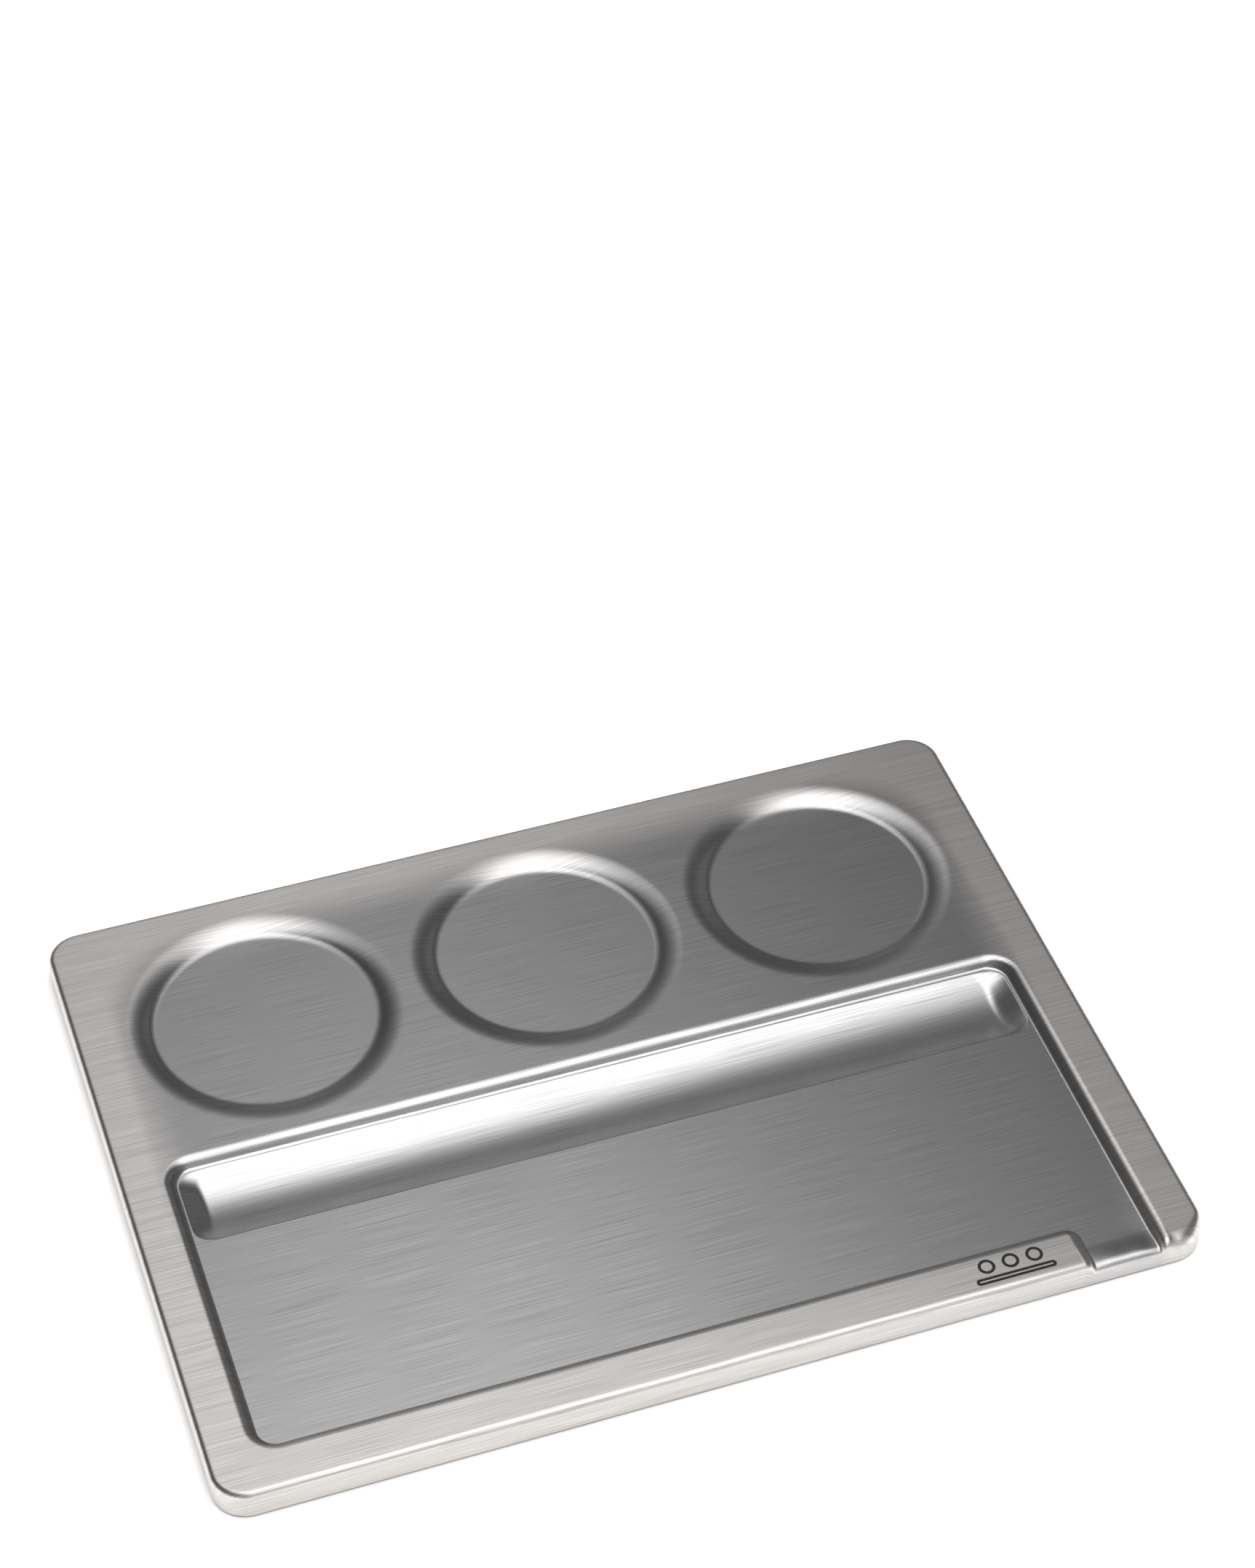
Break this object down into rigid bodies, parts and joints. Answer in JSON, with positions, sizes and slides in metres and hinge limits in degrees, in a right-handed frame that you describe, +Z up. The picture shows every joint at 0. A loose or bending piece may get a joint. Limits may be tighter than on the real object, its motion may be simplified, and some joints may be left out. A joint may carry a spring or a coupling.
{
  "type": "sorting tray",
  "caption": "Low brushed-steel sorting tray with round seats along the back, a sunken work area with a half-round trough, and a pouring spout at the front.",
  "frame": {"origin": "centre of the tray's footprint, on the surface that its feet stand on", "axes": "+X along the tray to the end with the spout, +Y from the spouted front to the back row of seats, +Z up out of the tray's open face"},
  "size_m": [0.288, 0.216, 0.0098],
  "materials": {
    "brushed_steel": "stainless steel, fine straight brushing along the tray's length",
    "foot_rubber": "matt black moulded rubber",
    "tape": "off-white foam tape"
  },
  "bodies": {
    "root": {"pressed_tray": "brushed_steel", "foot_front_left": "foot_rubber", "foot_front_right": "foot_rubber", "foot_back_left": "foot_rubber", "foot_back_right": "foot_rubber", "foot_tape_front_left": "tape", "foot_tape_front_right": "tape", "foot_tape_back_left": "tape", "foot_tape_back_right": "tape"}
  },
  "joints": []
}
